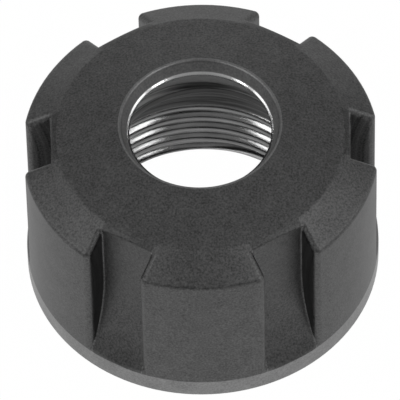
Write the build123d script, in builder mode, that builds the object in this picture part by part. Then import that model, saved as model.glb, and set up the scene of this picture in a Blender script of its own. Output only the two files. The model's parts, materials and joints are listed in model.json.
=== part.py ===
"""Clamping nut for size 16 spring collets, with six spanner slots, as one turned and milled piece.

The nut stands on its rear face, with its axis along +Z and the origin at the middle of that
face. The spindle thread opens downwards, and the collet's nose looks out of the small opening on
top. All lengths are in millimetres and all angles in degrees.
"""

from build123d import *

import os
from math import hypot, radians, sqrt, tan

# Outside. The length runs to the sharp corner that the opening's edge break rounds off.
length = 18.25
outer_diameter = 30.0
band_height = 1.85
rear_edge_break = 0.1
shoulder_break = 0.45

# Front face: a shallow cone round the opening, and a steeper one over the lugs
face_slope = 14.4
lug_slope = 30.0
lug_cone_width = 2.9

# Opening that the collet's nose looks out of
opening_diameter = 13.4
opening_edge_break = 0.25
throat_diameter = 11.9
throat_depth = 1.25
throat_edge = 0.25

# Seat for the collet's front cone
seat_half_angle = 30.0
seat_diameter = 16.6

# Groove for the collet's flange, and the eccentric lip that pulls the collet out again
flange_groove_clearance = 0.25
flange_groove_width = 0.3
lip_diameter = 16.0
lip_offset = 0.35
lip_width = 0.8
lip_lead_in = 0.9

# Bore for the spindle: the thread's root, the plain bore above it and the mouth
thread_diameter = 22.0
thread_length = 7.3
plain_bore_diameter = 20.4
mouth_chamfer = 0.2

# Spanner slots
slot_count = 6
slot_width = 4.7
slot_depth = 2.5
slot_cutter_radius = 15.0
lug_edge_radius = 0.5

# Sizes that follow from those above
outer_radius = outer_diameter / 2
core_radius = outer_radius - lug_cone_width
slot_floor_radius = outer_radius - slot_depth
opening_radius = opening_diameter / 2
throat_radius = throat_diameter / 2
seat_radius = seat_diameter / 2
lip_radius = lip_diameter / 2
thread_radius = thread_diameter / 2
plain_bore_radius = plain_bore_diameter / 2
flange_groove_radius = seat_radius + flange_groove_clearance

core_height = length - (core_radius - opening_radius) * tan(radians(face_slope))
shoulder_height = core_height - lug_cone_width * tan(radians(lug_slope))
throat_height = length - throat_depth
seat_bottom = throat_height - (seat_radius - throat_radius) / tan(radians(seat_half_angle))
groove_bottom = seat_bottom - flange_groove_width
lip_bottom = groove_bottom - lip_width
plain_bore_top = lip_bottom - lip_lead_in

# How far a point may lie off a face that it is meant to be on
on_face = 0.01

# Turned faces start and end in the middle of a lug, where nothing crosses their seams
lug_plane = Plane.XZ.rotated((0, 0, 180 / slot_count))


def on_the_outside(edge):
    """Whether the middle of an edge lies on the nut's outside diameter."""
    middle = edge @ 0.5
    return hypot(middle.X, middle.Y) > outer_radius - on_face


# The turned ring: its section, spun round the axis. The lip starts as a plain narrow bore.
with BuildPart() as nut_body:
    with BuildSketch(lug_plane):
        with BuildLine():
            Polyline(
                (thread_radius + mouth_chamfer, 0),
                (outer_radius, 0),
                (outer_radius, shoulder_height),
                (core_radius, core_height),
                (opening_radius, length),
                (throat_radius + throat_edge, throat_height + throat_edge),
                (throat_radius, throat_height),
                (seat_radius, seat_bottom),
                (flange_groove_radius, seat_bottom),
                (flange_groove_radius, groove_bottom),
                (lip_radius - 2 * lip_offset, groove_bottom),
                (lip_radius - 2 * lip_offset, plain_bore_top),
                (plain_bore_radius, plain_bore_top),
                (plain_bore_radius, thread_length),
                (thread_radius, thread_length),
                (thread_radius, mouth_chamfer),
                close=True,
            )
        make_face()
        rear_corner = vertices().group_by(Axis.Y)[0].sort_by(Axis.X)[-1]
        chamfer(rear_corner, rear_edge_break)
        shoulder_corner = vertices().group_by(Axis.X)[-1].sort_by(Axis.Y)[-1]
        fillet(shoulder_corner, shoulder_break)
        opening_corner = vertices().sort_by(Axis.Y)[-1]
        fillet(opening_corner, opening_edge_break)
    revolve(axis=Axis.Z)

    # The eccentric bore of the lip, with its lead-in from below
    lip_axis = Axis((lip_offset, 0, 0), (0, 0, 1))
    with BuildSketch(Plane.XZ):
        with BuildLine():
            Polyline(
                (lip_offset, plain_bore_top),
                (lip_offset + lip_radius + lip_lead_in, plain_bore_top),
                (lip_offset + lip_radius, lip_bottom),
                (lip_offset + lip_radius, groove_bottom),
                (lip_offset, groove_bottom),
                close=True,
            )
        make_face()
    revolve(axis=lip_axis, mode=Mode.SUBTRACT)

    # Spanner slots: the cutter travels down a straight floor and leaves its own arc at the end,
    # which meets the outside at the top of the band
    cutter_height = band_height + sqrt(
        slot_cutter_radius**2 - (slot_cutter_radius - slot_depth) ** 2
    )
    with BuildSketch(Plane.XZ.offset(-slot_width / 2)) as slot_side:
        with Locations((slot_floor_radius + slot_cutter_radius, cutter_height)):
            Circle(slot_cutter_radius)
        with Locations((slot_floor_radius, cutter_height)):
            Rectangle(2 * slot_cutter_radius, length, align=(Align.MIN, Align.MIN))
    slot_cut = extrude(slot_side.sketch, amount=slot_width, mode=Mode.PRIVATE)
    with PolarLocations(0, slot_count):
        add(slot_cut, mode=Mode.SUBTRACT)

    # The lugs' edges beside the slots are rounded, and so is each slot's end on the outside
    slot_walls = faces().filter_by(
        lambda face: face.geom_type == GeomType.PLANE
        and abs(face.normal_at().Z) < on_face
        and abs(face.normal_at().dot(face.center())) < slot_width
    )
    lug_edges = ShapeList(
        edge
        for wall in slot_walls
        for edge in wall.edges()
        if on_the_outside(edge) or (edge @ 0.5).Z > shoulder_height - shoulder_break
    )
    slot_ends = edges().filter_by(
        lambda edge: edge.geom_type not in (GeomType.LINE, GeomType.CIRCLE)
        and on_the_outside(edge)
    )
    fillet(lug_edges + slot_ends, lug_edge_radius)

os.makedirs("parts", exist_ok=True)
nut_body.part.label = "nut_body"
export_step(nut_body.part, "parts/nut_body.step")
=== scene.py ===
"""Collet nut in blackened, finely blasted steel, dressed and lit for a studio picture.

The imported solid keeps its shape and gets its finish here. The helical thread in its bore is a
surface of its own. The scene is in metres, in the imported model's frame: the nut's axis is +Z,
its rear face lies on the floor at z = 0, and a spanner slot looks along +X. The nut's sizes and
those of its finish are in millimetres, and angles are in degrees.
"""

from __future__ import annotations

import json
import logging
import math
from dataclasses import dataclass
from enum import Enum
from functools import cached_property
from typing import Union

import bpy
import numpy as np
from mathutils import Matrix, Vector

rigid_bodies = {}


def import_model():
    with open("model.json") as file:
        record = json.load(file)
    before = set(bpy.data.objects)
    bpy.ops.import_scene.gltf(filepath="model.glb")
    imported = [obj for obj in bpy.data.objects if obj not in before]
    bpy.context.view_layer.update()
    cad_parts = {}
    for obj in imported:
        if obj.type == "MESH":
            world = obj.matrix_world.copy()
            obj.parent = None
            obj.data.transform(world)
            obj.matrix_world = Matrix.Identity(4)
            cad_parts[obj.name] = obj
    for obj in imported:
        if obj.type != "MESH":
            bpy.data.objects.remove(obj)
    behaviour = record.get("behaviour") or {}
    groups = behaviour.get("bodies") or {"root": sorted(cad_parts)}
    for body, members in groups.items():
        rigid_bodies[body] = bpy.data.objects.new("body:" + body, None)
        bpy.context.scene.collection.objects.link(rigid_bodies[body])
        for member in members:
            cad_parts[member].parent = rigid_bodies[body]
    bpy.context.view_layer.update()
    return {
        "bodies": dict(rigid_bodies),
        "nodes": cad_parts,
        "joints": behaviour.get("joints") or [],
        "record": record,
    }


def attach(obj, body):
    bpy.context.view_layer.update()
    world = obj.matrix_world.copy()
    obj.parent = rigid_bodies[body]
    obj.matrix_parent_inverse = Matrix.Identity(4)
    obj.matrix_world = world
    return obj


log = logging.getLogger("collet_nut")

# What feeds a node's input: another node's output, or a plain number
Source = Union[bpy.types.NodeSocket, float]

MM = 0.001

# Noise textures give values about this one
NOISE_MIDDLE = 0.5


class Zone(Enum):
    """Which finish a piece of the nut gets. The values name the materials."""

    OUTSIDE = "blasted_outside"
    THREAD = "cut_thread"


def slope(angle: float) -> float:
    """Rise per run of a line at an angle, or run per rise of one at that angle to the axis."""
    return math.tan(math.radians(angle))


@dataclass(frozen=True)
class NutSizes:
    """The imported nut's sizes that its finish and its thread go by.

    The opening's rounded edge is given by its width on the face and by how far down it is worn.
    """

    length: float = 18.25
    outer_radius: float = 15.0
    band_height: float = 1.85
    core_radius: float = 12.1
    face_slope: float = 14.4
    lug_slope: float = 30.0
    opening_radius: float = 6.7
    opening_edge_width: float = 0.2
    opening_edge_height: float = 0.23
    throat_radius: float = 5.95
    throat_depth: float = 1.25
    throat_edge: float = 0.25
    seat_radius: float = 8.3
    seat_half_angle: float = 30.0
    groove_width: float = 0.3
    lip_width: float = 0.8
    thread_radius: float = 11.0
    thread_length: float = 7.3
    crest_radius: float = 10.21
    mouth_chamfer: float = 0.2
    slot_count: int = 6
    slot_half_width: float = 2.35
    slot_floor_radius: float = 12.5
    slot_cutter_radius: float = 15.0

    @property
    def throat_bottom(self) -> float:
        """Height where the seat ends in the throat."""
        return self.length - self.throat_depth

    @property
    def throat_top(self) -> float:
        """Height where the throat's bright edge meets the countersink."""
        return self.throat_bottom + self.throat_edge

    @property
    def seat_bottom(self) -> float:
        """Height of the seat's foot."""
        return self.throat_bottom - (self.seat_radius - self.throat_radius) / slope(self.seat_half_angle)

    @property
    def groove_bottom(self) -> float:
        """Height of the lip's upper face, which is the groove's floor."""
        return self.seat_bottom - self.groove_width

    @property
    def lip_bottom(self) -> float:
        """Height where the lip begins, over its lead-in."""
        return self.groove_bottom - self.lip_width

    @property
    def mouth_radius(self) -> float:
        """Radius of the bore's mouth on the rear face."""
        return self.thread_radius + self.mouth_chamfer

    @property
    def slot_top(self) -> float:
        """Height where a slot's floor comes out of the lug cone, in the slot's middle plane."""
        core_height = self.length - (self.core_radius - self.opening_radius) * slope(self.face_slope)
        return core_height - (self.slot_floor_radius - self.core_radius) * slope(self.lug_slope)

    @property
    def cutter_offset(self) -> float:
        """Distance between the nut's axis and the middle of the slot cutter."""
        return self.slot_floor_radius + self.slot_cutter_radius

    @property
    def cutter_height(self) -> float:
        """Height of the cutter's middle where it stops, with its arc at the band's top outside."""
        clear = self.cutter_offset - self.outer_radius
        return self.band_height + math.sqrt(self.slot_cutter_radius**2 - clear**2)


def direction(azimuth: float, elevation: float) -> Vector:
    """Points from the nut towards a place in the studio.

    For azimuth a and elevation e it is (sin a cos e, -cos a cos e, sin e), so that azimuth 0 is
    the front and azimuth 90 is +X.

    Args:
        azimuth: Turn about the nut's axis, in degrees.
        elevation: Angle over the floor, in degrees.

    Returns:
        The unit vector.
    """
    turn, rise = math.radians(azimuth), math.radians(elevation)
    return Vector((math.sin(turn) * math.cos(rise), -math.cos(turn) * math.cos(rise), math.sin(rise)))


class NodeNet:
    """A shader node tree with short calls for adding and joining nodes."""

    def __init__(self, tree: bpy.types.NodeTree) -> None:
        """Takes hold of a node tree.

        Args:
            tree: The tree that nodes are added to.
        """
        self.tree = tree

    def add(self, kind: str, **settings: object) -> bpy.types.Node:
        """Adds a node.

        Args:
            kind: The node's type name, without its ShaderNode prefix.
            settings: Attributes to set on the node.

        Returns:
            The new node.
        """
        node = self.tree.nodes.new("ShaderNode" + kind)
        for name, value in settings.items():
            setattr(node, name, value)
        return node

    def feed(self, socket: bpy.types.NodeSocket, source: Source) -> None:
        """Gives an input its value.

        Args:
            socket: The input.
            source: An output to join to it, or a plain value.
        """
        if isinstance(source, bpy.types.NodeSocket):
            self.tree.links.new(source, socket)
        else:
            socket.default_value = source

    def maths(self, operation: str, *inputs: Source, clamp: bool = False) -> bpy.types.NodeSocket:
        """Adds a Math node.

        Args:
            operation: The node's operation.
            inputs: Its values or the outputs that feed them.
            clamp: Whether the result is kept between 0 and 1.

        Returns:
            The node's output.
        """
        node = self.add("Math", operation=operation, use_clamp=clamp)
        for socket, source in zip(node.inputs, inputs):
            self.feed(socket, source)
        return node.outputs[0]

    def product(self, *factors: Source) -> Source:
        """Multiplies values or masks.

        Args:
            factors: One or more of them.

        Returns:
            Their product.
        """
        result = factors[0]
        for factor in factors[1:]:
            result = self.maths("MULTIPLY", result, factor)
        return result

    def reach(self, first: Source, second: Source) -> bpy.types.NodeSocket:
        """Distance that two lengths at right angles make: the root of the sum of their squares."""
        squares = [self.maths("POWER", length, 2.0) for length in (first, second)]
        return self.maths("SQRT", self.maths("ADD", *squares))

    def ramp(self, value: Source, low: Source, high: Source) -> bpy.types.NodeSocket:
        """Adds a smooth step from 0 at low to 1 at high.

        Args:
            value: What is measured.
            low: Where the step starts.
            high: Where it ends.

        Returns:
            The step's height.
        """
        node = self.add("MapRange", interpolation_type="SMOOTHSTEP")
        for name, source in (("Value", value), ("From Min", low), ("From Max", high)):
            self.feed(node.inputs[name], source)
        return node.outputs["Result"]

    def blend(self, share: Source, first: Source, second: Source) -> bpy.types.NodeSocket:
        """Mixes two numbers.

        Args:
            share: How much of the second there is, from 0 to 1.
            first: The first number.
            second: The second number.

        Returns:
            The mixed number.
        """
        node = self.add("Mix", data_type="FLOAT")
        for socket, source in zip(node.inputs[:1] + node.inputs[2:4], (share, first, second)):
            self.feed(socket, source)
        return node.outputs[0]


class GroupFactory:
    """Builds each shader node group once, when a material first asks for it."""

    def _open(
        self, name: str, inputs: tuple[str, ...], outputs: tuple[str, ...]
    ) -> tuple[NodeNet, bpy.types.Node, bpy.types.Node]:
        """Makes an empty group with its sockets.

        Args:
            name: The group's name.
            inputs: Names of the inputs. Position is a vector, and the others are numbers.
            outputs: Names of the outputs, which are all numbers.

        Returns:
            The group's net, its input node and its output node.
        """
        tree = bpy.data.node_groups.new(name, "ShaderNodeTree")
        for label in inputs:
            kind = "NodeSocketVector" if label == "Position" else "NodeSocketFloat"
            tree.interface.new_socket(label, in_out="INPUT", socket_type=kind)
        for label in outputs:
            tree.interface.new_socket(label, in_out="OUTPUT", socket_type="NodeSocketFloat")
        return NodeNet(tree), tree.nodes.new("NodeGroupInput"), tree.nodes.new("NodeGroupOutput")

    @cached_property
    def blasted_grain(self) -> bpy.types.NodeTree:
        """Fine pits from blasting, with a slower cloudiness from the blackening bath.

        Returns:
            The group, with outputs Speckle and Cloud about 0.5 and Height from 0 to 1.
        """
        net, entry, leave = self._open(
            "blasted_grain",
            ("Position", "Grain per Metre", "Clouds per Metre"),
            ("Speckle", "Cloud", "Height"),
        )
        fine = net.add("TexNoise", noise_dimensions="3D")
        cloud = net.add("TexNoise", noise_dimensions="3D")
        pits = net.add("TexVoronoi", voronoi_dimensions="3D", feature="SMOOTH_F1")
        scales = ((fine, "Grain per Metre"), (cloud, "Clouds per Metre"), (pits, "Grain per Metre"))
        for node, scale in scales:
            net.feed(node.inputs["Vector"], entry.outputs["Position"])
            net.feed(node.inputs["Scale"], entry.outputs[scale])
        fine.inputs["Detail"].default_value = 1.5
        fine.inputs["Roughness"].default_value = 0.6
        cloud.inputs["Detail"].default_value = 3.0
        half_and_half = net.blend(0.5, fine.outputs[0], pits.outputs["Distance"])
        net.feed(leave.inputs["Speckle"], fine.outputs[0])
        net.feed(leave.inputs["Cloud"], cloud.outputs[0])
        net.feed(leave.inputs["Height"], half_and_half)
        return net.tree

    @cached_property
    def round_place(self) -> bpy.types.NodeTree:
        """Distance from the nut's axis, height above the floor and place along X, in millimetres.

        Returns:
            The group, with outputs Radius, Height and Across.
        """
        net, entry, leave = self._open("round_place", ("Position",), ("Radius", "Height", "Across"))
        split = net.add("SeparateXYZ")
        net.feed(split.inputs[0], entry.outputs["Position"])
        radius = net.reach(split.outputs["X"], split.outputs["Y"])
        places = (("Radius", radius), ("Height", split.outputs["Z"]), ("Across", split.outputs["X"]))
        for name, metres in places:
            net.feed(leave.inputs[name], net.maths("DIVIDE", metres, MM))
        return net.tree

    @cached_property
    def slot_place(self) -> bpy.types.NodeTree:
        """Place within the nearest slot, with the nut turned by whole slots.

        Returns:
            The group. Side is the distance from the slot's middle plane, and Reach the distance
            from the axis that the slot's cutter turned about when it stopped. Wide is Reach under
            that axis, and above it only the way out from the cutter's middle, as on the straight
            floor. All are in millimetres.
        """
        net, entry, leave = self._open(
            "slot_place",
            ("Position", "Slots", "Cutter Offset", "Cutter Height"),
            ("Side", "Reach", "Wide"),
        )
        split = net.add("SeparateXYZ")
        net.feed(split.inputs[0], entry.outputs["Position"])
        across, along, height = [net.maths("DIVIDE", split.outputs[axis], MM) for axis in "XYZ"]
        angle = net.maths("ARCTAN2", along, across)
        step = net.maths("DIVIDE", math.tau, entry.outputs["Slots"])
        turned = net.product(net.maths("ROUND", net.maths("DIVIDE", angle, step)), step)
        angle = net.maths("SUBTRACT", angle, turned)
        radius = net.reach(across, along)
        out = net.product(radius, net.maths("COSINE", angle))
        out = net.maths("SUBTRACT", entry.outputs["Cutter Offset"], out)
        up = net.maths("SUBTRACT", height, entry.outputs["Cutter Height"])
        side = net.maths("ABSOLUTE", net.product(radius, net.maths("SINE", angle)))
        net.feed(leave.inputs["Side"], side)
        net.feed(leave.inputs["Reach"], net.reach(out, up))
        net.feed(leave.inputs["Wide"], net.reach(out, net.maths("MINIMUM", up, 0.0)))
        return net.tree

    @cached_property
    def turned_rings(self) -> bpy.types.NodeTree:
        """Fine rings that a turning tool leaves, as noise that changes slowly along them.

        Across, times Drift, is how far the noise has changed along the rings.

        Returns:
            The group, with the output Ring about 0.5.
        """
        net, entry, leave = self._open(
            "turned_rings",
            ("Radius", "Height", "Across", "Drift", "Rings per Millimetre"),
            ("Ring",),
        )
        place = net.add("CombineXYZ")
        net.feed(place.inputs["X"], entry.outputs["Radius"])
        net.feed(place.inputs["Y"], entry.outputs["Height"])
        net.feed(place.inputs["Z"], net.product(entry.outputs["Across"], entry.outputs["Drift"]))
        ring = net.add("TexNoise", noise_dimensions="3D")
        net.feed(ring.inputs["Vector"], place.outputs[0])
        net.feed(ring.inputs["Scale"], entry.outputs["Rings per Millimetre"])
        ring.inputs["Detail"].default_value = 2.0
        net.feed(leave.inputs["Ring"], ring.outputs[0])
        return net.tree

    def place(self, net: NodeNet, tree: bpy.types.NodeTree, **inputs: Source) -> bpy.types.Node:
        """Puts a group in a material.

        Args:
            net: The material's net.
            tree: The group.
            inputs: Values or outputs for its inputs, with underscores for the names' spaces.

        Returns:
            The group node.
        """
        node = net.add("Group", node_tree=tree)
        for name, source in inputs.items():
            net.feed(node.inputs[name.replace("_", " ")], source)
        return node


@dataclass(frozen=True)
class SteelTone:
    """How one zone of the steel looks.

    Relief is the depth of its pits or grooves, and uneven is how much they change its grey.
    """

    grey: float
    roughness: float
    metallic: float
    relief: float
    uneven: float


@dataclass
class SteelPlace:
    """Where a point of the steel lies, as outputs in a material, and steps at set places there.

    Radius and height are measured from the nut's axis and from the floor. Side and wide are the
    outputs of the group slot_place. A step rises from 0 to 1 over the length soft.
    """

    net: NodeNet
    radius: Source
    height: Source
    side: Source
    wide: Source
    soft: float

    def inwards(self, edge: float) -> bpy.types.NodeSocket:
        """1 nearer to the axis than an edge."""
        return self.net.ramp(self.radius, edge, edge - self.soft)

    def outwards(self, edge: float) -> bpy.types.NodeSocket:
        """1 farther from the axis than an edge."""
        return self.net.ramp(self.radius, edge, edge + self.soft)

    def below(self, top: float) -> bpy.types.NodeSocket:
        """1 lower than a height."""
        return self.net.ramp(self.height, top + self.soft, top)

    def above(self, bottom: float) -> bpy.types.NodeSocket:
        """1 higher than a height."""
        return self.net.ramp(self.height, bottom - self.soft, bottom)

    def between(self, half_width: float) -> bpy.types.NodeSocket:
        """1 within a slot's width."""
        return self.net.ramp(self.side, half_width, half_width - self.soft)


@dataclass(frozen=True)
class NutFinish:
    """Blackened steel: blasted outside, turned in the bore and ground along the rear band.

    Up the bore come the plain bore, the lip, the groove over it, the seat and the throat's bright
    edge, and then the countersink with its worn edge. The plain bore is darkened with painted
    shade, and the groove is lightened with painted light. The slots are milled, with a lighter
    line of painted highlight where wall and floor meet, and a strip of painted shade lies between
    the face and each slot's floor. The thread has flanks and crests.
    """

    sizes: NutSizes

    blasted: SteelTone = SteelTone(0.093, 0.5, 1.0, 0.008, 1.8)
    # Painted shade: the plain bore's steel is darkened, standing in for the shade deep in the bore
    bore: SteelTone = SteelTone(0.037, 0.35, 1.0, 0.03, 3.0)
    lip: SteelTone = SteelTone(0.045, 0.5, 0.6, 0.03, 3.5)
    # Painted light: the groove over the lip is a pale matt grey, standing in for light that reaches it
    groove: SteelTone = SteelTone(0.3, 0.7, 0.0, 0.03, 4.0)
    seat: SteelTone = SteelTone(0.085, 0.6, 0.4, 0.03, 3.5)
    throat: SteelTone = SteelTone(0.85, 0.2, 1.0, 0.0, 0.2)
    countersink: SteelTone = SteelTone(0.17, 0.6, 0.6, 0.006, 1.2)
    opening_edge: SteelTone = SteelTone(0.17, 0.45, 1.0, 0.003, 0.8)
    ground: SteelTone = SteelTone(0.205, 0.45, 1.0, 0.004, 1.0)
    flank: SteelTone = SteelTone(0.42, 0.22, 1.0, 0.012, 1.6)
    crest: SteelTone = SteelTone(0.16, 0.3, 1.0, 0.005, 0.8)
    milled: SteelTone = SteelTone(0.077, 0.45, 1.0, 0.006, 1.8)
    # Painted highlight: a lighter line where a slot's walls meet its floor
    corner_highlight: SteelTone = SteelTone(0.16, 0.45, 1.0, 0.004, 1.8)
    # Painted shade: a darker tone on the strip of lug cone over each slot
    painted_shade_strip: SteelTone = SteelTone(0.066, 0.5, 1.0, 0.008, 1.8)

    # How far a tone reaches past its zone's edge, and over what length it fades there
    overlap: float = 0.1
    soft_edge: float = 0.05

    # The painted highlight line in a slot's corner, and how far down the painted shade fades into the
    # slot
    corner_highlight_width: float = 0.2
    painted_shade_strip_fade: float = 0.4

    # Grain, rings and clouds: how close they are, and how much they change the tone
    grain_per_metre: float = 6000.0
    clouds_per_metre: float = 700.0
    rings_per_millimetre: float = 3.5
    ring_drift: float = 0.05
    cloud_share: float = 0.4
    arc_share: float = 2.2
    rough_share: float = 0.1

    # The radius over which light rounds off the edges, and the rays that find it
    edge_radius: float = 0.3
    edge_samples: int = 8

    def material(self, groups: GroupFactory, zone: Zone) -> bpy.types.Material:
        """Builds the steel for one piece.

        The tone is the zone's grey times 1 + the marks that tools or blasting left + the clouds.

        Args:
            groups: The groups that the material uses.
            zone: Which piece it is for.

        Returns:
            The material.
        """
        made = bpy.data.materials.new(zone.value)
        made.use_nodes = True
        made.node_tree.nodes.clear()
        net = NodeNet(made.node_tree)
        position = net.add("TexCoord").outputs["Object"]
        grain = groups.place(
            net,
            groups.blasted_grain,
            Position=position,
            Grain_per_Metre=self.grain_per_metre,
            Clouds_per_Metre=self.clouds_per_metre,
        )
        place, ring, arc = self._turned(net, groups, position)
        masks = self._masks(place, zone)
        inside = masks[0][1]
        tone = self._tone(net, masks)

        marks = net.maths("SUBTRACT", net.blend(inside, grain.outputs["Speckle"], ring), NOISE_MIDDLE)
        marks = net.product(marks, tone["uneven"])
        wall = net.ramp(place.side, self.sizes.slot_half_width - self.overlap, self.sizes.slot_half_width)
        curved = net.product(wall, self._slots(place), net.maths("SUBTRACT", arc, NOISE_MIDDLE))
        marks = net.maths("ADD", marks, net.product(curved, self.arc_share))
        cloud = net.maths("SUBTRACT", grain.outputs["Cloud"], NOISE_MIDDLE)
        lift = net.maths("ADD", net.maths("ADD", marks, net.product(cloud, self.cloud_share)), 1.0)

        shader = net.add("BsdfPrincipled")
        colour = net.add("CombineColor")
        grey = net.product(tone["grey"], lift)
        for channel in ("Red", "Green", "Blue"):
            net.feed(colour.inputs[channel], grey)
        rough = net.maths("ADD", tone["roughness"], net.product(marks, self.rough_share), clamp=True)
        net.feed(shader.inputs["Base Color"], colour.outputs[0])
        net.feed(shader.inputs["Roughness"], rough)
        net.feed(shader.inputs["Metallic"], tone["metallic"])

        edge = net.add("Bevel", samples=self.edge_samples)
        edge.inputs["Radius"].default_value = self.edge_radius * MM
        bump = net.add("Bump")
        bump.inputs["Distance"].default_value = MM
        relief = net.product(net.blend(inside, grain.outputs["Height"], ring), tone["relief"])
        net.feed(bump.inputs["Height"], relief)
        net.feed(bump.inputs["Normal"], edge.outputs[0])
        net.feed(shader.inputs["Normal"], bump.outputs[0])
        surface = net.add("OutputMaterial")
        net.feed(surface.inputs["Surface"], shader.outputs[0])
        return made

    def _turned(
        self, net: NodeNet, groups: GroupFactory, position: Source
    ) -> tuple[SteelPlace, Source, Source]:
        """Finds a point's place on the nut, and the rings and arcs that its tools left there.

        Args:
            net: The material's net.
            groups: The groups that the material uses.
            position: The point, in metres.

        Returns:
            The place, the noise of the turned rings and that of the slot cutter's arcs.
        """
        turned = groups.place(net, groups.round_place, Position=position)
        rings = groups.place(
            net,
            groups.turned_rings,
            Radius=turned.outputs["Radius"],
            Height=turned.outputs["Height"],
            Across=turned.outputs["Across"],
            Drift=self.ring_drift,
            Rings_per_Millimetre=self.rings_per_millimetre,
        )
        slot = groups.place(
            net,
            groups.slot_place,
            Position=position,
            Slots=self.sizes.slot_count,
            Cutter_Offset=self.sizes.cutter_offset,
            Cutter_Height=self.sizes.cutter_height,
        )
        arcs = groups.place(
            net,
            groups.turned_rings,
            Radius=slot.outputs["Reach"],
            Height=slot.outputs["Side"],
            Rings_per_Millimetre=self.rings_per_millimetre,
        )
        place = SteelPlace(
            net,
            radius=turned.outputs["Radius"],
            height=turned.outputs["Height"],
            side=slot.outputs["Side"],
            wide=slot.outputs["Wide"],
            soft=self.soft_edge,
        )
        return place, rings.outputs["Ring"], arcs.outputs["Ring"]

    def _tone(self, net: NodeNet, masks: list[tuple[SteelTone, Source]]) -> dict[str, Source]:
        """Lays the zones' tones over the blasted one.

        Args:
            net: The material's net.
            masks: Pairs of tone and mask, from the lowest layer up.

        Returns:
            The blended values, by the names of a tone's fields.
        """
        blended: dict[str, Source] = dict(vars(self.blasted))
        for tone, mask in masks:
            for name, value in vars(tone).items():
                blended[name] = net.blend(mask, blended[name], value)
        return blended

    def _slots(self, place: SteelPlace) -> Source:
        """Where the slots' walls and floors are.

        Args:
            place: The point's place on the nut.

        Returns:
            The mask.
        """
        return place.net.product(
            place.between(self.sizes.slot_half_width + self.overlap),
            place.outwards(self.sizes.slot_floor_radius - self.overlap),
            place.above(self.sizes.band_height + self.overlap),
        )

    def _corner_highlight(self, place: SteelPlace) -> Source:
        """The lighter line, a painted highlight, where a slot's walls meet its floor and the cutter's
        arc.

        Args:
            place: The point's place on the nut.

        Returns:
            The mask.
        """
        net, half = place.net, self.sizes.slot_half_width
        floor = self.sizes.slot_cutter_radius - self.corner_highlight_width
        return net.product(
            net.ramp(place.wide, floor, floor + place.soft),
            net.ramp(place.side, half - self.overlap, half + self.overlap),
            self._slots(place),
        )

    def _painted_shade_strip(self, place: SteelPlace) -> Source:
        """The strip of the lug cone over each slot, darkened as painted shade, fading down into the
        slot's floor.

        Args:
            place: The point's place on the nut.

        Returns:
            The mask.
        """
        net, core = place.net, self.sizes.core_radius
        top = self.sizes.slot_top + place.soft
        return net.product(
            place.between(self.sizes.slot_half_width + self.overlap),
            net.ramp(place.radius, core - place.soft, core + place.soft),
            net.ramp(place.height, top - self.painted_shade_strip_fade, top),
        )

    def _masks(self, place: SteelPlace, zone: Zone) -> list[tuple[SteelTone, Source]]:
        """Where each tone lies over the blasted one.

        Args:
            place: The point's place on the nut.
            zone: Which piece the material is for.

        Returns:
            Pairs of tone and mask, from the lowest layer up. The first mask is where the steel is
            turned and has rings in place of grain.
        """
        net, sizes = place.net, self.sizes
        if zone is Zone.THREAD:
            return [(self.flank, 1.0), (self.crest, place.inwards(sizes.crest_radius + place.soft))]
        mouth = sizes.mouth_radius + self.overlap
        bore = net.product(place.inwards(mouth), place.below(sizes.throat_bottom))
        throat_reach = sizes.throat_radius + sizes.throat_edge + self.overlap
        throat = net.product(place.inwards(throat_reach), place.below(sizes.throat_top))
        opening_reach = sizes.opening_radius + sizes.opening_edge_width
        opening = net.product(place.inwards(opening_reach), place.above(sizes.throat_top))
        worn_from = sizes.length - sizes.opening_edge_height
        return [
            # The plain bore's dark tone is painted shade deep in the bore
            (self.bore, net.maths("MAXIMUM", bore, throat)),
            (self.lip, net.product(bore, place.above(sizes.lip_bottom))),
            # The groove's pale tone is painted light
            (self.groove, net.product(bore, place.above(sizes.groove_bottom))),
            (self.seat, net.product(bore, place.above(sizes.seat_bottom))),
            (self.throat, net.product(throat, place.above(sizes.throat_bottom))),
            (self.countersink, opening),
            (self.opening_edge, net.product(opening, place.above(worn_from))),
            (self.ground, net.product(place.outwards(mouth), place.below(sizes.band_height))),
            (self.milled, self._slots(place)),
            # Painted highlight along each slot's corner
            (self.corner_highlight, self._corner_highlight(place)),
            # Painted shade darkens the strip of lug cone over each slot
            (self.painted_shade_strip, self._painted_shade_strip(place)),
        ]


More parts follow.
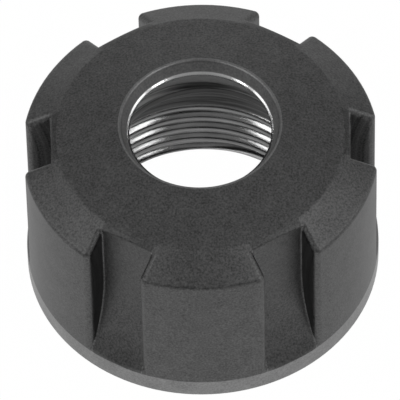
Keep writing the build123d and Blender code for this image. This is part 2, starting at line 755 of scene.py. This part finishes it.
@dataclass
class SpindleThread:
    """The internal thread of the bore: a helical ridge of 60 degrees on the bore's wall.

    The ridge starts over the rear face, runs on past the wall's end into the solid, and a crest
    of it passes the crest height at the angle phase.
    """

    sizes: NutSizes
    pitch: float = 1.5
    crest_share: float = 0.25
    root_share: float = 0.125
    rounding: float = 0.04
    sink: float = 0.25
    bottom: float = 0.12
    overrun: float = 0.15
    crest_height: float = 3.85
    phase: float = 90.0
    steps_per_turn: int = 144

    def profile(self) -> tuple[np.ndarray, np.ndarray]:
        """The ridge's outline: offset along the axis against radius.

        One half has a point halfway out on the crest, the crest's edge cut back by the rounding,
        a point down the flank from it, and the flank's foot on the wall. The other half mirrors
        it, and the outline closes behind the wall, into which it is sunk.

        Returns:
            Offsets along the axis and radii, in millimetres.
        """
        wall, tip = self.sizes.thread_radius, self.sizes.crest_radius
        crest = self.pitch * self.crest_share / 2
        foot = self.pitch * (1 - self.root_share) / 2
        run = (foot - crest) / (wall - tip)
        half_along = [crest / 2, crest - self.rounding, crest + self.rounding * run, foot]
        half_radius = [tip, tip, tip + self.rounding, wall]
        sunk = wall + self.sink
        along = np.array([-foot, *[-a for a in reversed(half_along)], 0.0, *half_along, foot])
        radius = np.array([sunk, *reversed(half_radius), tip, *half_radius, sunk])
        return along, radius

    def build(self) -> bpy.types.Object:
        """Carries the outline along a helix.

        A point at turn angle t and offset v has height h(t) + v with h rising one pitch in a
        turn, and the outline's radius. Heights stop at the wall's two ends, and near the mouth
        the radius is no less than the mouth cone's there, which is the mouth's radius less the
        height.

        Returns:
            The thread's object.
        """
        along, radius = self.profile()
        top = self.sizes.thread_length + self.overrun
        start = self.bottom - self.pitch
        turns = (top - start) / self.pitch
        turn = np.linspace(0.0, turns, int(turns * self.steps_per_turn))
        shift = (self.crest_height - start) / self.pitch
        angle = np.radians(self.phase) + 2 * np.pi * (turn - shift)
        height = np.clip(start + self.pitch * turn[:, None] + along[None, :], self.bottom, top)
        reach = np.maximum(np.broadcast_to(radius, height.shape), self.sizes.mouth_radius - height)
        points = np.stack(
            [reach * np.cos(angle)[:, None], reach * np.sin(angle)[:, None], height], axis=-1
        )
        return surface_object("spindle_thread", points * MM)


def surface_object(name: str, points: np.ndarray) -> bpy.types.Object:
    """Makes a closed tube from a grid of points.

    Rows follow the path and columns go once round the outline. The last column joins the first
    and each end is closed by one face.

    Args:
        name: The object's name.
        points: Rows by columns by 3, in metres.

    Returns:
        The new object, linked to the scene.
    """
    rows, columns = points.shape[:2]
    index = np.arange(rows * columns).reshape(rows, columns)
    near, far = index[:-1], index[1:]
    quads = np.stack([near, np.roll(near, -1, axis=1), np.roll(far, -1, axis=1), far], axis=-1)
    faces = quads.reshape(-1, 4).tolist()
    faces.append(index[0, ::-1].tolist())
    faces.append(index[-1].tolist())
    mesh = bpy.data.meshes.new(name)
    mesh.from_pydata(points.reshape(-1, 3).tolist(), [], faces)
    mesh.validate()
    mesh.update()
    made = bpy.data.objects.new(name, mesh)
    bpy.context.scene.collection.objects.link(made)
    return made


@dataclass
class ColletNut:
    """The nut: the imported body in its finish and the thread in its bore."""

    frame: dict
    groups: GroupFactory
    finish: NutFinish
    thread: SpindleThread

    def dress(self) -> None:
        """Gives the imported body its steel."""
        body = self.frame["nodes"]["nut_body"]
        body.data.materials.clear()
        body.data.materials.append(self.finish.material(self.groups, Zone.OUTSIDE))
        log.info("nut_body: %d faces in blackened steel", len(body.data.polygons))

    def cut_thread(self) -> None:
        """Makes the thread and lets it ride on the nut."""
        ridge = self.thread.build()
        ridge.data.materials.append(self.finish.material(self.groups, Zone.THREAD))
        ridge.data.shade_smooth()
        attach(ridge, "root")
        log.info("%s: %d faces", ridge.name, len(ridge.data.polygons))


@dataclass(frozen=True)
class SoftLight:
    """A soft box, by where it stands round the nut, its size and its power.

    It faces a point on the nut's axis at the aim height, and stands at its distance from there.
    Lengths are in metres.
    """

    name: str
    azimuth: float
    elevation: float
    distance: float
    width: float
    height: float
    watts: float
    aim_height: float = 9.0 * MM

    def build(self) -> None:
        """Sets the box on a sphere round the nut, facing it."""
        towards = direction(self.azimuth, self.elevation)
        data = bpy.data.lights.new(self.name, "AREA")
        data.shape = "RECTANGLE"
        data.size = self.width
        data.size_y = self.height
        data.energy = self.watts
        lamp = bpy.data.objects.new(self.name, data)
        lamp.location = towards * self.distance + Vector((0, 0, self.aim_height))
        lamp.rotation_euler = towards.to_track_quat("Z", "Y").to_euler()
        bpy.context.scene.collection.objects.link(lamp)


@dataclass
class Studio:
    """Floor, lamps, world and camera. Lengths are in metres, and the sensor's in millimetres.

    The floor lies a little under the nut, so that their faces don't coincide. The camera looks
    down from its elevation and is turned and rolled as the photo's was, and the middle of the
    nut's rear face falls on the axis pixel of the frame.
    """

    floor_half: float = 0.6
    floor_drop: float = 0.02 * MM
    floor_tone: float = 0.8
    shown_white: float = 0.995
    world_level: float = 0.33
    elevation: float = 53.82
    azimuth: float = 0.45
    roll: float = -1.36
    distance: float = 0.65
    focal_pixels: float = 7600.0
    frame_pixels: float = 400.0
    axis_pixel: tuple[float, float] = (203.1, 251.6)
    sensor_millimetres: float = 36.0
    nearest: float = 0.01
    farthest: float = 10.0
    lights: tuple[SoftLight, ...] = (
        SoftLight("left_box", -61.0, 45.0, 0.6, 0.13, 0.35, 0.75),
        SoftLight("right_box", 60.0, 45.0, 0.6, 0.14, 0.35, 0.92),
        SoftLight("left_wash", -95.0, 26.0, 0.6, 0.35, 0.35, 0.5),
        SoftLight("right_wash", 95.0, 26.0, 0.6, 0.35, 0.35, 0.53),
        SoftLight("back_wash", 180.0, 52.0, 0.7, 0.7, 0.4, 0.38),
        SoftLight("back_strip", 180.0, 14.0, 0.7, 1.0, 0.25, 0.65),
        SoftLight("top_box", 180.0, 75.0, 0.6, 0.3, 0.3, 0.08),
    )

    def build(self) -> None:
        """Sets up everything round the nut."""
        self._floor()
        self._world()
        for light in self.lights:
            light.build()
        self._camera()
        bpy.context.scene.view_settings.view_transform = "Standard"

    def _floor(self) -> None:
        """A plain pale floor that keeps the nut's shadow.

        It scatters the lamps' light as a matt surface, and shows almost white to the camera and
        in what the steel mirrors.
        """
        half = self.floor_half
        corners = [(-half, -half, 0.0), (half, -half, 0.0), (half, half, 0.0), (-half, half, 0.0)]
        mesh = bpy.data.meshes.new("floor")
        mesh.from_pydata(corners, [], [(0, 1, 2, 3)])
        floor = bpy.data.objects.new("floor", mesh)
        floor.location.z = -self.floor_drop
        bpy.context.scene.collection.objects.link(floor)
        made = bpy.data.materials.new("pale_floor")
        made.use_nodes = True
        made.node_tree.nodes.clear()
        net = NodeNet(made.node_tree)
        matt = net.add("BsdfDiffuse")
        matt.inputs["Color"].default_value = (self.floor_tone,) * 3 + (1.0,)
        glow = net.add("Emission")
        glow.inputs["Strength"].default_value = 1.0
        mix = net.add("MixShader")
        path = net.add("LightPath")
        seen = path.outputs["Is Camera Ray"]
        for other in ("Is Glossy Ray", "Is Transmission Ray"):
            seen = net.maths("MAXIMUM", seen, path.outputs[other])
        net.feed(mix.inputs["Fac"], net.product(seen, self.shown_white))
        net.feed(mix.inputs[1], matt.outputs[0])
        net.feed(mix.inputs[2], glow.outputs[0])
        surface = net.add("OutputMaterial")
        net.feed(surface.inputs["Surface"], mix.outputs[0])
        mesh.materials.append(made)

    def _world(self) -> None:
        """Even pale surroundings."""
        world = bpy.data.worlds.new("surroundings")
        world.use_nodes = True
        world.node_tree.nodes.clear()
        net = NodeNet(world.node_tree)
        glow = net.add("Background")
        glow.inputs["Strength"].default_value = self.world_level
        surface = net.add("OutputWorld")
        net.feed(surface.inputs["Surface"], glow.outputs[0])
        bpy.context.scene.world = world

    def _camera(self) -> None:
        """Places the camera where the photo's stood.

        It stands on a line at the elevation and azimuth from the middle of the rear face, is
        rolled about that line, and is then aimed so that this point falls on its pixel.
        """
        back = direction(self.azimuth, self.elevation)
        right = direction(self.azimuth + 90.0, 0.0)
        up = back.cross(right)
        spin = Matrix.Rotation(math.radians(self.roll), 3, back)
        right, up = spin @ right, spin @ up
        beside, over = [self.frame_pixels / 2 - pixel for pixel in self.axis_pixel]
        target = (right * beside - up * over) * self.distance / self.focal_pixels
        place = back * self.distance
        forward = (target - place).normalized()
        right = forward.cross(up).normalized()
        up = right.cross(forward)
        data = bpy.data.cameras.new("photo_camera")
        data.sensor_width = self.sensor_millimetres
        data.lens = self.focal_pixels / self.frame_pixels * data.sensor_width
        data.clip_start = self.nearest
        data.clip_end = self.farthest
        camera = bpy.data.objects.new("photo_camera", data)
        turned = Matrix((right, up, -forward)).transposed().to_4x4()
        camera.matrix_world = Matrix.Translation(place) @ turned
        bpy.context.scene.collection.objects.link(camera)
        bpy.context.scene.camera = camera


def main() -> None:
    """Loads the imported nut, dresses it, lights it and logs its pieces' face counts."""
    logging.basicConfig(level=logging.INFO, format="%(name)s: %(message)s")
    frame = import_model()
    sizes = NutSizes()
    nut = ColletNut(frame, GroupFactory(), NutFinish(sizes), SpindleThread(sizes))
    nut.dress()
    nut.cut_thread()
    Studio().build()


if __name__ == "__main__":
    main()
